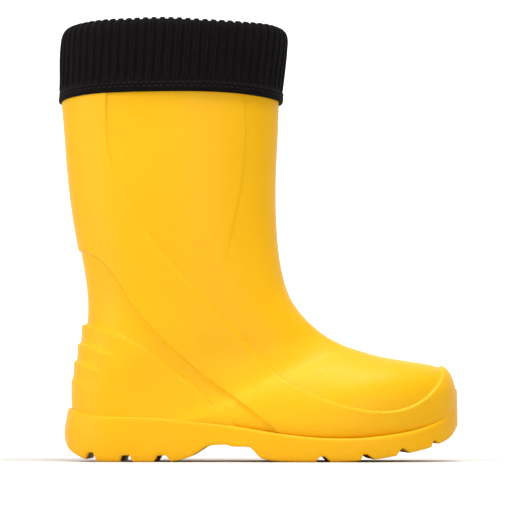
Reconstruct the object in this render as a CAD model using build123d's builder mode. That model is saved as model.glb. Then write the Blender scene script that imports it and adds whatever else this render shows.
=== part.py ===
"""A calf-high foam deck boot for the right foot, with a knitted cuff and a pull-out liner.

The boot stands on its tread at Z = 0. +X runs from heel to toe, +Y to the inner side of the
foot, +Z up. The origin is on the floor under the middle of the boot's box. All sizes are in mm.
"""
from build123d import *
import os
from collections import namedtuple
from math import cos, hypot, pi, radians, sin, tan

os.makedirs("parts", exist_ok=True)

# ---- driving sizes -------------------------------------------------------------------------
RIM_Z = 305.5            # top edge of the foam leg
ANKLE_Z = 128.0          # the moulding is parted here into leg shaft and foot shell
COLLAR_Z = 250.0         # above this height the leg is a straight prism, so the cuff slides off
LEAN = 3.6               # degrees that the straight top of the leg leans forward
LEG_HALF_LENGTH = 77.3   # half of the leg's front-to-back size at the top, outside
LEG_HALF_WIDTH = 46.0
LEG_MID_X = -62.0        # middle of the leg at the rim
WALL = 4.5               # foam wall of the upper
FOOTBED = 7.0            # foam under the foot
BAND_RAISE = 1.2         # how far the moulded band, counter and toe guard stand proud
RIB_RAISE = 2.0          # how far the heel ribs stand proud
LINER_GAP = 0.6          # felt to foam
FELT = 3.0               # felt of the liner
TAPE = 0.8               # tapes over the liner's seams
TAPE_WIDTH = 9.0
LINER_SEAM_Z = 36.0      # seam of the liner's sole tray and side panels
LINER_TURN = 1.8         # degrees that the seam plane turns toward the big toe
KNIT = 2.2               # one layer of the rib knit
CUFF_GAP = 0.4           # knit to foam
CUFF_BOTTOM_Z = 254.0    # lower edge of the turned-down cuff
CUFF_JOIN_Z = 262.0      # seam of cuff and felt, inside the leg
HEM_HEIGHT = 7.6
HEM_THICK = 2.6
STITCH_THREAD = 0.5
STITCH_ROWS = (4.2, 6.8)  # heights of the two stitched rows above the hem's edge
JOIN_SEAM_HEIGHT = 3.0
FORM_TOP_Z = 330.0       # forms and cutting tools end here, above everything
TOOL = 400.0             # cutting tools are this large, larger than the boot
ORIGIN = Location((3.6, -0.2, 0))  # moves the boot so that its box is centred over the origin

LEAN_AXIS = Vector(sin(radians(LEAN)), 0, cos(radians(LEAN)))

# ---- the boot's form, as slices from a front point to a back point ---------------------------
# front and back are (x, z) in the side view. wide is the half width, shift moves the slice
# sideways, middle is how far along it from the back the widest place lies, and blunt_front and
# blunt_back say how square each half is (2 is an ellipse). sole is 1 where back is underfoot.
Slice = namedtuple("Slice", "front back wide shift middle blunt_front blunt_back sole")


def leg_mid(z):
    """Middle of the leg's straight top at a height."""
    return LEG_MID_X - (RIM_Z - z) * tan(radians(LEAN))


def leg_slice(z):
    """A level slice of the straight top of the leg."""
    mid = leg_mid(z)
    return Slice((mid + LEG_HALF_LENGTH, z), (mid - LEG_HALF_LENGTH, z),
                 LEG_HALF_WIDTH, 0, 0.5, 2, 2, 0)


SLICES = [leg_slice(z) for z in (FORM_TOP_Z, 315, 300, 285, 270, 260, COLLAR_Z)] + [
    Slice((9.8, 204), (-138.4, 204), 45.0, 0, 0.50, 2.0, 2.0, 0),
    Slice((10.7, 166), (-132.3, 166), 43.5, 0, 0.50, 2.0, 2.1, 0),
    Slice((14.0, 136), (-125.2, 134), 41.5, 0, 0.48, 2.1, 2.15, 0),
    Slice((20.4, 115), (-122.2, 110), 40.0, 0, 0.44, 2.15, 2.2, 0),
    Slice((27.3, 104.4), (-124.0, 90), 39.0, 0, 0.38, 2.2, 2.3, 0),
    Slice((34.8, 96.5), (-129.3, 64), 38.0, 0, 0.31, 2.3, 2.3, 0),
    Slice((44.5, 88.5), (-131.4, 36), 36.5, 0, 0.25, 2.4, 2.3, 0),
    Slice((55.6, 82.3), (-117.5, 13.5), 36.0, -0.5, 0.24, 2.5, 2.5, 1),
    Slice((66.9, 78.1), (-70.0, 16), 37.5, -1.5, 0.28, 2.4, 2.8, 1),
    Slice((79.8, 74.2), (-14.0, 15), 42.5, -1.5, 0.32, 2.3, 2.9, 1),
    Slice((94.2, 71.4), (38.0, 11), 46.6, 0.0, 0.34, 2.4, 2.9, 1),
    Slice((109.2, 69.2), (82.0, 11.5), 43.5, 2.5, 0.37, 2.4, 2.8, 1),
    Slice((122.6, 66.8), (111.0, 15), 35.0, 5.0, 0.42, 2.4, 2.5, 1),
    Slice((130.8, 62.5), (126.3, 20.5), 25.5, 6.5, 0.45, 2.3, 2.3, 1),
    Slice((135.2, 52.5), (134.4, 29.5), 12.0, 7.0, 0.50, 2.2, 2.2, 0),
]
ABOVE = leg_slice(2 * FORM_TOP_Z)
FRONT_LINE = [ABOVE.front] + [cut.front for cut in SLICES] + [SLICES[-1].back]
BACK_LINE = [ABOVE.back] + [cut.back for cut in SLICES] + [SLICES[-1].front]
HALF_OUTLINE_POINTS = 13


def moved_square(line, k, distance):
    """Point k of a side-view line, moved by distance square to the line through its neighbours."""
    (ax, az), (x, z), (bx, bz) = line[k - 1:k + 2]
    step = hypot(bx - ax, bz - az)
    return x + distance * (bz - az) / step, z - distance * (bx - ax) / step


def half_outline(reach_back, reach_front, half_width, cut, side):
    """Points of one half of a slice's outline, from its front round one side to its back."""
    points = []
    for k in range(HALF_OUTLINE_POINTS):
        angle = pi * k / (HALF_OUTLINE_POINTS - 1)
        c, s = cos(angle), sin(angle)
        blunt = cut.blunt_front if c > 0 else cut.blunt_back
        reach = reach_front if c > 0 else reach_back
        along = abs(c) ** (2 / blunt) * (reach if c > 0 else -reach)
        across = s ** (2 / blunt) * half_width if 0 < k < HALF_OUTLINE_POINTS - 1 else 0
        points.append((reach_back + along, cut.shift + side * across))
    return points


def boot_form(inset, sole_inset, top_z):
    """A solid of the boot's outer form, set in by inset, and by sole_inset under the foot."""
    faces = []
    for k, cut in enumerate(SLICES, start=1):
        fx, fz = moved_square(FRONT_LINE, k, inset)
        bx, bz = moved_square(BACK_LINE, k, -(sole_inset if cut.sole else inset))
        length = hypot(fx - bx, fz - bz)
        ux, uz = (fx - bx) / length, (fz - bz) / length
        reach_back = cut.middle * length
        sizes = (reach_back, length - reach_back, cut.wide - inset, cut)
        with BuildSketch(Plane(origin=(bx, 0, bz), x_dir=(ux, 0, uz), z_dir=(-uz, 0, ux))) as face:
            with BuildLine():
                Spline(*half_outline(*sizes, 1))
                Spline(*half_outline(*sizes, -1))
            make_face()
        faces.append(face.sketch)
    with BuildPart() as form:
        loft(faces)
        split(bisect_by=Plane.XY.offset(top_z), keep=Keep.BOTTOM)
    return form.part


def side_regions(*outlines):
    """A solid that covers regions of the side view, right across the boot."""
    with BuildPart() as region:
        with BuildSketch(Plane.XZ):
            for outline in outlines:
                with BuildLine():
                    for points in outline:
                        if len(points) > 2:
                            Spline(*points)
                        else:
                            Line(*points)
                make_face()
        extrude(amount=TOOL / 2, both=True)
    return region.part


def leg_tube(outside, inside, low_z, high_z):
    """A ring round the leg's straight top, between two distances from the foam's outside."""
    with BuildPart() as tube:
        with BuildSketch(Plane.XY.offset(low_z)):
            with Locations((leg_mid(low_z), 0)):
                Ellipse(LEG_HALF_LENGTH + outside, LEG_HALF_WIDTH + outside)
                Ellipse(LEG_HALF_LENGTH + inside, LEG_HALF_WIDTH + inside, mode=Mode.SUBTRACT)
        extrude(amount=(high_z - low_z) / LEAN_AXIS.Z, dir=LEAN_AXIS)
    return tube.part


def finish(piece, name):
    """Names a finished piece and writes its file."""
    part = piece.part.moved(ORIGIN)
    part.label = name
    export_step(part, f"parts/{name}.step")


# ---- side-view lines of the moulding -----------------------------------------------------------
BAND_FRONT = [(-107.6, 252), (-107.5, 229), (-103.1, 204), (-95.9, 187), (-72.6, 147.3),
              (-43.1, 114.4), (-17.7, 87.6), (10.4, 60), (37.4, 43.9), (63.1, 35.8), (80.5, 33.9),
              (99.2, 36.6), (111.4, 43.1), (120.4, 51.5), (125.5, 60.1), (124, 76)]
BAND_REAR = [(-165, 150), (-130.5, 149), (-110.3, 137.7), (-89.2, 107.9), (-60.8, 76.8),
             (-33.4, 53.7), (-10.1, 36.8), (3.9, 25.8)]
COUNTER_TOP = [(-165, 95.5), (-127.3, 93.8), (-109.7, 90.3), (-83.4, 78.2), (-51.1, 55),
               (-27.8, 33.9), (-15.3, 20.1)]
RIB_CRESTS = [[(-160, 88.2), (-127.2, 82.2), (-96.2, 69.4)],
              [(-160, 74.7), (-129.6, 69.7), (-103, 58.3)],
              [(-160, 61.2), (-131.4, 57.3), (-111, 48.2)]]
RIB_HEIGHT = 9.0
SOLE_LINE = [(-133.2, 36.7), (-114.1, 32.4), (-85.5, 30.6), (-54.6, 28.5), (-19.6, 24.4), (1.4, 21),
             (24.8, 17.7), (51.4, 16.1), (69.6, 16.6), (86.1, 18.4), (104.4, 21.7), (116.9, 25.9),
             (126.3, 31.4), (132.1, 38.7), (136.1, 51.2)]

# ---- the sole from below and in the side view --------------------------------------------------
PLAN_OUTLINE = [(-138.8, 0), (-133, -18), (-118, -31.5), (-100, -38), (-57, -40), (-20, -43.2),
                (10, -47), (42, -49.6), (70, -48.4), (92, -43.6), (110, -35.8), (124, -25.5),
                (134, -11.5), (138.8, 7), (134.5, 27), (124, 38.5), (108, 45.6), (82, 49.8),
                (50, 48.8), (20, 44.8), (-20, 39.6), (-57, 38), (-100, 37.8), (-118, 31.5),
                (-133, 18)]
PLAN_HALF_LENGTH = 138.8
PLAN_HALF_WIDTH = 49.8
WALL_PROFILE = [(0, 4.0), (5, 1.2), (20, 0), (60, 1.6)]     # height, how far the wall is set in
TREAD_LINE = [(-138.8, 22), (-134.8, 10), (-127, 4), (-117, 0), (-62, 0), (-48.5, 3), (-40.5, 9.6),
              (-35, 11.4), (-13, 11), (-8.5, 8.6), (-4, 3.4), (8, 0), (49, 0), (77, 2), (96, 5.2),
              (113.5, 9.4), (123, 12.8), (131.5, 18), (137, 25), (140, 36), (139, 46)]
GROOVES = [(-116.4, 8, 6.2), (-92.2, 9, 4.4), (-67.8, 9, 4.4), (41, 8.5, 3.8), (70.5, 8, 5.4),
           (95.5, 8, 9), (117.5, 4, 14.4)]                   # x, width, height of the groove's roof

# ---- forms that several pieces share -------------------------------------------------------------
raised_form = boot_form(-BAND_RAISE, -BAND_RAISE, COLLAR_Z)
cavity_form = boot_form(WALL, FOOTBED, FORM_TOP_Z)
felt_inset = WALL + LINER_GAP
felt_sole_inset = FOOTBED + LINER_GAP
felt_inner_form = boot_form(felt_inset + FELT, felt_sole_inset + FELT, FORM_TOP_Z)


def strip_below(crest):
    """Outline of a strip of the side view, RIB_HEIGHT deep, with its upper edge on the crest."""
    foot = [(x, z - RIB_HEIGHT) for x, z in crest]
    return crest, [crest[-1], foot[-1]], foot, [foot[0], crest[0]]


# ---- foam upper: leg and foot in one shell, with the raised moulding -----------------------------
left, right, low = -165, 170, -10       # region outlines close outside the boot


def outline_round(line, *corners):
    """A line of a region, and straight runs from its end through the corners back to its start."""
    stops = [line[-1], *corners, line[0]]
    return [line] + [list(run) for run in zip(stops, stops[1:])]


band_ends, rear_ends = (BAND_FRONT[0], BAND_FRONT[-1]), (BAND_REAR[0], BAND_REAR[-1])
with BuildPart() as upper:
    add(boot_form(0, 0, RIM_Z))
    add(raised_form & side_regions(
        [BAND_FRONT, [band_ends[1], (right, band_ends[1][1])],
         [(right, band_ends[1][1]), (right, low)], [(right, low), (rear_ends[1][0], low)],
         [(rear_ends[1][0], low), rear_ends[1]], BAND_REAR,
         [rear_ends[0], (left, band_ends[0][1])], [(left, band_ends[0][1]), band_ends[0]]],
        outline_round(COUNTER_TOP, (COUNTER_TOP[-1][0], low), (left, low)),
        outline_round(SOLE_LINE, (right, SOLE_LINE[-1][1]), (right, low), (left, low),
                      (left, SOLE_LINE[0][1]))))
    add(boot_form(-RIB_RAISE, -RIB_RAISE, COLLAR_Z) & side_regions(
        *[strip_below(crest) for crest in RIB_CRESTS]))
    add(cavity_form, mode=Mode.SUBTRACT)

with BuildPart() as leg_shaft:
    add(upper.part)
    split(bisect_by=Plane.XY.offset(ANKLE_Z), keep=Keep.TOP)
finish(leg_shaft, "leg_shaft")

with BuildPart() as foot_shell:
    add(upper.part)
    split(bisect_by=Plane.XY.offset(ANKLE_Z), keep=Keep.BOTTOM)
finish(foot_shell, "foot_shell")

# ---- foam outsole: a tray round the foot, with a rolled toe guard, an arch and tread grooves ------
with BuildPart() as outsole:
    for height, inset in WALL_PROFILE:
        with BuildSketch(Plane.XY.offset(height)):
            with BuildLine():
                Spline(*[(x * (1 - inset / PLAN_HALF_LENGTH), y * (1 - inset / PLAN_HALF_WIDTH))
                         for x, y in PLAN_OUTLINE], periodic=True)
            make_face()
    loft(ruled=True)
    add(side_regions((SOLE_LINE, [SOLE_LINE[-1], TREAD_LINE[-1]], TREAD_LINE,
                      [TREAD_LINE[0], SOLE_LINE[0]])), mode=Mode.INTERSECT)
    for x, width, top in GROOVES:
        with Locations((x, 0, top)):
            Box(width, TOOL, TOOL, align=(Align.CENTER, Align.CENTER, Align.MAX),
                mode=Mode.SUBTRACT)
    add(raised_form, mode=Mode.SUBTRACT)
finish(outsole, "outsole")

# ---- felt liner: a sole tray, two side panels and tapes over the seams -----------------------------
turn = radians(LINER_TURN)
seam_plane = Plane(origin=(leg_mid(COLLAR_Z), 0, 0), x_dir=(cos(turn), sin(turn), 0),
                   z_dir=(sin(turn), -cos(turn), 0))
with BuildPart() as felt:
    add(boot_form(felt_inset, felt_sole_inset, CUFF_JOIN_Z))
    add(felt_inner_form, mode=Mode.SUBTRACT)
with BuildPart() as tapes:
    add(felt_inner_form)
    add(boot_form(felt_inset + FELT + TAPE, felt_sole_inset + FELT + TAPE, FORM_TOP_Z),
        mode=Mode.SUBTRACT)
    split(bisect_by=Plane.XY.offset(CUFF_JOIN_Z - TAPE), keep=Keep.BOTTOM)

with BuildPart() as liner_sole_tray:
    add(felt.part)
    split(bisect_by=Plane.XY.offset(LINER_SEAM_Z), keep=Keep.BOTTOM)
finish(liner_sole_tray, "liner_sole_tray")

with BuildPart() as liner_lateral_panel:
    add(felt.part)
    split(bisect_by=Plane.XY.offset(LINER_SEAM_Z), keep=Keep.TOP)
    split(bisect_by=seam_plane, keep=Keep.TOP)
finish(liner_lateral_panel, "liner_lateral_panel")

with BuildPart() as liner_medial_panel:
    add(felt.part)
    split(bisect_by=Plane.XY.offset(LINER_SEAM_Z), keep=Keep.TOP)
    split(bisect_by=seam_plane, keep=Keep.BOTTOM)
finish(liner_medial_panel, "liner_medial_panel")

with BuildPart() as liner_sole_seam:
    add(tapes.part)
    split(bisect_by=Plane.XY.offset(LINER_SEAM_Z - TAPE_WIDTH / 2), keep=Keep.TOP)
    split(bisect_by=Plane.XY.offset(LINER_SEAM_Z + TAPE_WIDTH / 2), keep=Keep.BOTTOM)
finish(liner_sole_seam, "liner_sole_seam")


def upright_tape(side):
    """The tape over the liner's front (side 1) or back (side -1) seam."""
    with BuildPart() as tape:
        add(tapes.part)
        split(bisect_by=Plane.XY.offset(LINER_SEAM_Z + TAPE_WIDTH / 2), keep=Keep.TOP)
        with BuildSketch(Plane(seam_plane.origin, seam_plane.x_dir, (0, 0, 1))):
            Rectangle(TOOL, TAPE_WIDTH,
                      align=(Align.MIN if side > 0 else Align.MAX, Align.CENTER))
        extrude(amount=TOOL, mode=Mode.INTERSECT)
    return tape


finish(upright_tape(1), "liner_front_seam")
finish(upright_tape(-1), "liner_back_seam")

# ---- knitted cuff: inside the leg, over the rim and turned down outside ----------------------------
inside = -WALL - CUFF_GAP
fold_z = RIM_Z + CUFF_GAP
with BuildPart() as rib_cuff:
    add(leg_tube(CUFF_GAP + KNIT, inside - KNIT, CUFF_BOTTOM_Z + HEM_HEIGHT, fold_z + KNIT))
    add(leg_tube(CUFF_GAP, inside, CUFF_BOTTOM_Z, fold_z), mode=Mode.SUBTRACT)
    add(leg_tube(inside, inside - 2 * KNIT, COLLAR_Z, CUFF_JOIN_Z), mode=Mode.SUBTRACT)
finish(rib_cuff, "rib_cuff")

with BuildPart() as cuff_hem_band:
    add(leg_tube(CUFF_GAP + HEM_THICK, CUFF_GAP, CUFF_BOTTOM_Z, CUFF_BOTTOM_Z + HEM_HEIGHT))
finish(cuff_hem_band, "cuff_hem_band")

with BuildPart() as cuff_hem_stitching:
    for row in STITCH_ROWS:
        add(leg_tube(CUFF_GAP + HEM_THICK + STITCH_THREAD, CUFF_GAP + HEM_THICK,
                     CUFF_BOTTOM_Z + row, CUFF_BOTTOM_Z + row + STITCH_THREAD))
finish(cuff_hem_stitching, "cuff_hem_stitching")

with BuildPart() as cuff_join_seam:
    add(leg_tube(inside - KNIT, inside - KNIT - TAPE, CUFF_JOIN_Z, CUFF_JOIN_Z + JOIN_SEAM_HEIGHT))
finish(cuff_join_seam, "cuff_join_seam")
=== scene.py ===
"""Looks of a foam deck boot with a rib-knit cuff and a pull-out felt liner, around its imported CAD.

All sizes in the shape sections are in mm in the row frame; meshes are turned to metres at the end.
"""
from math import cos, hypot, pi, radians, sin, tan

import bmesh
import bpy
import numpy as np
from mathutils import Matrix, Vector


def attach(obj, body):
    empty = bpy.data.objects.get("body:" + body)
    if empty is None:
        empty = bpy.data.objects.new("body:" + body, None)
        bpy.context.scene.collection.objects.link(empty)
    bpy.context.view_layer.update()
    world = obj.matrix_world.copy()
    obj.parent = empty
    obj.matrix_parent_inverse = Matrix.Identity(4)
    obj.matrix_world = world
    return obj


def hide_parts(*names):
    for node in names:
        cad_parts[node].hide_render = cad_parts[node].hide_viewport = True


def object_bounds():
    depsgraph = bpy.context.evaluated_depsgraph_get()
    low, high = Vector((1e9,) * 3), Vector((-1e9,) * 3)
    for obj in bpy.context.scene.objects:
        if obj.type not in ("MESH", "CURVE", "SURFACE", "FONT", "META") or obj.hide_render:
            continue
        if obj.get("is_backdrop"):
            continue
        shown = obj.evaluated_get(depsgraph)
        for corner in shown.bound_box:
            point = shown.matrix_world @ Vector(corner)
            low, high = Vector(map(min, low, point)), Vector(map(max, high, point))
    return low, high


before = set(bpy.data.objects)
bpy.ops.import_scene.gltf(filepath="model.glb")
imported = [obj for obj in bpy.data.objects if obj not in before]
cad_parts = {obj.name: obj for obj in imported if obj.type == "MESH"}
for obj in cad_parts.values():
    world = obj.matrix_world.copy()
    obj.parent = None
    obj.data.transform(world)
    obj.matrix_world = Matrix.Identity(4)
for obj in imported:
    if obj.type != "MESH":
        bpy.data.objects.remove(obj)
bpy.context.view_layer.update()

# ---- driving sizes, as in the CAD source ---------------------------------------------------------
MM = 0.001
RIM_Z = 305.5
COLLAR_Z = 250.0
LEAN = 3.6
LEG_HALF_LENGTH = 77.3
LEG_HALF_WIDTH = 46.0
LEG_MID_X = -62.0
WALL = 4.5
FOOTBED = 7.0
BAND_RAISE = 1.8
LINER_GAP = 0.6
FELT = 3.0
TAPE = 0.8
TAPE_WIDTH = 9.0
LINER_SEAM_Z = 36.0
KNIT = 2.2
CUFF_GAP = 0.4
CUFF_BOTTOM_Z = 254.0
CUFF_JOIN_Z = 262.0
HEM_HEIGHT = 7.6
HEM_THICK = 2.7
SHIFT = np.array((3.6, -0.2, 0.0))     # from the outlines' own origin to the row frame
FORM_TOP_Z = 330.0


def smooth(t):
    """0 below 0, 1 above 1, and an even S between."""
    t = np.clip(t, 0, 1)
    return t * t * (3 - 2 * t)


def spline(knots, values):
    """A natural cubic spline through rows of values, as a function of the position."""
    knots, values = np.asarray(knots, float), np.asarray(values, float)
    gap = np.diff(knots)
    n = len(knots)
    matrix, right = np.eye(n), np.zeros_like(values)
    for i in range(1, n - 1):
        matrix[i, i - 1:i + 2] = gap[i - 1], 2 * (gap[i - 1] + gap[i]), gap[i]
        right[i] = 6 * ((values[i + 1] - values[i]) / gap[i] - (values[i] - values[i - 1]) / gap[i - 1])
    bend = np.linalg.solve(matrix, right)

    def at(t):
        t = np.asarray(t, float)
        k = np.clip(np.searchsorted(knots, t, side="right") - 1, 0, n - 2)
        b = ((t - knots[k]) / gap[k])[..., None]
        a = 1 - b
        curve = ((a ** 3 - a) * bend[k] + (b ** 3 - b) * bend[k + 1]) * (gap[k] ** 2 / 6)[..., None]
        return a * values[k] + b * values[k + 1] + curve
    return at


def smooth_line(points, count):
    """Points along a spline through a few points."""
    points = np.asarray(points, float)
    knots = np.concatenate([[0], np.cumsum(np.hypot(*np.diff(points, axis=0).T))])
    return spline(knots, points)(np.linspace(0, knots[-1], count))


# ---- the boot's form: slices from a front point to a back point, as in the CAD source -------------
def leg_mid(z):
    """Middle of the leg's straight top at a height."""
    return LEG_MID_X - (RIM_Z - z) * tan(radians(LEAN))


def leg_slice(z):
    """One slice of the leg's straight top."""
    mid = leg_mid(z)
    return (mid + LEG_HALF_LENGTH, z), (mid - LEG_HALF_LENGTH, z), LEG_HALF_WIDTH, 0, 0.5, 2, 2, 0


# front point, back point, half width, sideways shift, share of the widest place, bluntness of the
# front and the back half, 1 where the back point is under the foot
SLICES = [leg_slice(z) for z in (FORM_TOP_Z, 315, 300, 285, 270, 260)] + [
    ((12.3, COLLAR_Z), (-141.4, COLLAR_Z), 45.8, 0, 0.50, 2.0, 2.0, 0),
    ((10.4, 204), (-137.2, 204), 45.0, 0, 0.50, 2.0, 2.0, 0),
    ((10.7, 166), (-131.9, 166), 43.5, 0, 0.50, 2.0, 2.1, 0),
    ((14.0, 136), (-125.9, 134), 41.5, 0, 0.48, 2.1, 2.15, 0),
    ((20.4, 115), (-123.0, 110), 40.0, 0, 0.44, 2.15, 2.2, 0),
    ((27.3, 104.4), (-124.0, 90), 39.0, 0, 0.38, 2.2, 2.3, 0),
    ((34.8, 96.5), (-129.3, 64), 38.0, 0, 0.31, 2.3, 2.3, 0),
    ((44.5, 88.5), (-131.4, 36), 36.5, 0, 0.25, 2.35, 2.3, 0),
    ((55.6, 82.3), (-117.5, 13.5), 36.0, -0.5, 0.24, 2.4, 2.5, 1),
    ((66.9, 78.1), (-70.0, 16), 37.5, -1.5, 0.28, 2.35, 2.8, 1),
    ((79.8, 74.2), (-14.0, 15), 42.5, -1.5, 0.32, 2.3, 3.4, 1),
    ((94.2, 71.4), (38.0, 11), 46.6, 0.0, 0.34, 2.4, 4.2, 1),
    ((109.2, 69.2), (82.0, 11.5), 43.5, 2.5, 0.37, 2.4, 4.0, 1),
    ((122.6, 66.8), (111.0, 15), 35.0, 5.0, 0.42, 2.4, 3.4, 1),
    ((130.8, 62.5), (126.3, 20.5), 25.5, 6.5, 0.45, 2.3, 2.8, 1),
    ((135.2, 52.5), (134.4, 29.5), 12.0, 7.0, 0.50, 2.2, 2.2, 0),
]
ABOVE = leg_slice(2 * FORM_TOP_Z)
FRONT_LINE = [ABOVE[0]] + [place[0] for place in SLICES] + [SLICES[-1][1]]
BACK_LINE = [ABOVE[1]] + [place[1] for place in SLICES] + [SLICES[-1][0]]
STEPS = [(hypot(a[0][0] - b[0][0], a[0][1] - b[0][1]) + hypot(a[1][0] - b[1][0], a[1][1] - b[1][1])) / 2
         for a, b in zip(SLICES, SLICES[1:])]
KNOTS = np.concatenate([[0], np.cumsum(STEPS)])        # way down the slices, in mm
UPPER_Z, LOWER_Z = SLICES[1][0][1], SLICES[2][0][1]     # the two slices that the rim lies between
MM_PER_Z = (KNOTS[2] - KNOTS[1]) / (UPPER_Z - LOWER_Z)
RIM_U = KNOTS[1] + (UPPER_Z - RIM_Z) * MM_PER_Z


def moved_square(line, k, distance):
    """Point k of a side-view line, moved by distance square to the line through its neighbours."""
    (ax, az), (x, z), (bx, bz) = line[k - 1:k + 2]
    step = hypot(bx - ax, bz - az)
    return x + distance * (bz - az) / step, z - distance * (bx - ax) / step


def boot_form(inset, sole_inset):
    """The form's surface, set in. It maps rows of (way down the slices, angle, share of the radius)."""
    rows = []
    for k, (_, _, wide, aside, middle, blunt_front, blunt_back, sole) in enumerate(SLICES, start=1):
        front = moved_square(FRONT_LINE, k, inset)
        back = moved_square(BACK_LINE, k, -(sole_inset if sole else inset))
        rows.append((*front, *back, wide - inset, aside, middle, blunt_front, blunt_back))
    line = spline(KNOTS, rows)

    def at(uvs):
        u, v, share = uvs.T
        fx, fz, bx, bz, wide, aside, middle, blunt_front, blunt_back = line(u).T
        c, s = np.cos(v), np.sin(v)
        power = 2 / np.where(c > 0, blunt_front, blunt_back)
        along = np.abs(c) ** power * np.where(c > 0, 1 - middle, -middle) + middle
        across = np.sign(s) * np.abs(s) ** power * wide
        along = 0.5 + (along - 0.5) * share
        places = [bx + (fx - bx) * along, aside + across * share, bz + (fz - bz) * along]
        return np.stack(places, 1) + SHIFT
    return at


# ---- mesh tools ------------------------------------------------------------------------------------
WELD = 2e-6            # metres; points closer than this are one point
ON_LINE = 2e-3         # mm; a point closer to a cut line counts as beside it
BATCH = 8000           # points measured against a line at once


def grid(rows, columns, closed=False, looped=False):
    """Quads of a grid of points; closed joins the last column to the first, looped the last row."""
    index = np.arange(rows * columns).reshape(rows, columns)
    if closed:
        index = np.concatenate([index, index[:, :1]], axis=1)
    if looped:
        index = np.concatenate([index, index[:1]])
    return np.stack([index[:-1, :-1], index[:-1, 1:], index[1:, 1:], index[1:, :-1]], -1).reshape(-1, 4)


def triangles(quads):
    """Two triangles for each quad."""
    return np.concatenate([quads[:, [0, 1, 2]], quads[:, [0, 2, 3]]])


def used_only(faces):
    """The points that some triangles use, and the triangles counted through those points."""
    used, own = np.unique(faces, return_inverse=True)
    return used, own.reshape(-1, 3)


def cut(uvs, faces, value, reach=8.0):
    """Splits triangles along the line where value is 0, except on edges with an end beyond reach."""
    value = np.where(np.abs(value) < ON_LINE, ON_LINE, value)
    ahead = np.roll(faces, -1, axis=1)
    farther = np.maximum(np.abs(value[faces]), np.abs(value[ahead]))
    crossed = (value[faces] * value[ahead] < 0) & (farther < reach)
    count = crossed.sum(1)
    both, one = faces[count == 2], faces[count == 1]
    uncut, only = (~crossed[count == 2]).argmax(1), crossed[count == 1].argmax(1)
    b, c, a = (both[np.arange(len(both)), (uncut + k) % 3] for k in range(3))
    d, e, f = (one[np.arange(len(one)), (only + k) % 3] for k in range(3))
    edges = np.sort(np.concatenate([np.stack(pair, 1) for pair in ((a, b), (a, c), (d, e))]), 1)
    unique, index = np.unique(edges, axis=0, return_inverse=True)
    i, j = unique.T
    new = uvs[i] + (uvs[j] - uvs[i]) * (value[i] / (value[i] - value[j]))[:, None]
    p, q, r = np.split(len(uvs) + index.ravel(), [len(a), 2 * len(a)])
    parts = [np.stack(corners, 1) for corners in ((a, p, q), (p, b, c), (p, c, q), (d, r, f), (r, e, f))]
    return np.concatenate([uvs, new]), np.concatenate([faces[count == 0], *parts])


def side_of(points, line):
    """Distance of each point from a side-view line: above 0 to the right of its way, below 0 left."""
    a, step = line[:-1], np.diff(line, axis=0)
    result = np.empty(len(points))
    for start in range(0, len(points), BATCH):
        p = points[start:start + BATCH, None, [0, 2]] - a
        share = np.clip((p * step).sum(-1) / (step ** 2).sum(-1), 0, 1)
        away = np.hypot(*np.moveaxis(p - share[..., None] * step, -1, 0))
        near = away.argmin(1)
        row = np.arange(len(near))
        turn = step[near, 0] * p[row, near, 1] - step[near, 1] * p[row, near, 0]
        result[start:start + BATCH] = np.where(turn > 0, -1, 1) * away[row, near]
    return result


def outward_normals(points, faces):
    """Outward normals at a form's points, shared between points at the same place.

    The first point is at the back of the leg, so its normal points to -X.
    """
    a, b, c = (points[faces[:, k]] for k in range(3))
    flat = np.cross(b - a, c - a)
    _, same = np.unique(np.round(points / ON_LINE).astype(np.int64), axis=0, return_inverse=True)
    same = same.ravel()
    total = np.zeros((same.max() + 1, 3))
    for k in range(3):
        np.add.at(total, same[faces[:, k]], flat)
    total /= np.maximum(np.linalg.norm(total, axis=1, keepdims=True), 1e-12)
    normals = total[same]
    return -normals if normals[0, 0] > 0 else normals


def unfolded(points, base, faces, fixed, rounds=6, least_cosine=0.15):
    """Points with the folds taken out that moving them off the base surface made in thin triangles.

    A corner of a triangle that has turned too far goes to the middle of its neighbours.
    """
    points = points.copy()
    a, b, c = faces.T
    before = np.cross(base[b] - base[a], base[c] - base[a])
    start = np.concatenate([a, b, c, b, c, a])
    end = np.concatenate([b, c, a, a, b, c])
    used = np.maximum(np.bincount(start, minlength=len(points)), 1)[:, None]
    for _ in range(rounds):
        now = np.cross(points[b] - points[a], points[c] - points[a])
        size = np.linalg.norm(now, axis=1) * np.linalg.norm(before, axis=1)
        folded = (now * before).sum(1) < least_cosine * size
        loose = np.zeros(len(points), bool)
        loose[faces[folded]] = True
        loose &= ~fixed
        around = np.zeros_like(points)
        np.add.at(around, start, points[end])
        points[loose] = (around / used)[loose]
    return points


def joined(*parts, bridge=()):
    """Several (points, faces) meshes as one; faces of the bridge count through all the points."""
    start = np.cumsum([0] + [len(points) for points, _ in parts])
    faces = [list(map(list, faces + first)) for (_, faces), first in zip(parts, start)]
    return np.concatenate([points for points, _ in parts]), sum(faces, []) + list(map(list, bridge))


def rim_edges(faces):
    """Edges that only one triangle uses, in that triangle's direction."""
    edges = np.concatenate([faces[:, [0, 1]], faces[:, [1, 2]], faces[:, [2, 0]]])
    _, index, count = np.unique(np.sort(edges, 1), axis=0, return_inverse=True, return_counts=True)
    return edges[count[index.ravel()] == 1]


def shell(outer, inner, faces):
    """A closed skin between two sets of points with the same triangles."""
    n = len(outer)
    rim = rim_edges(faces)
    wall = np.stack([rim[:, 1], rim[:, 0], rim[:, 0] + n, rim[:, 1] + n], 1)
    return joined((outer, faces), (inner, faces[:, ::-1]), bridge=wall)


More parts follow.
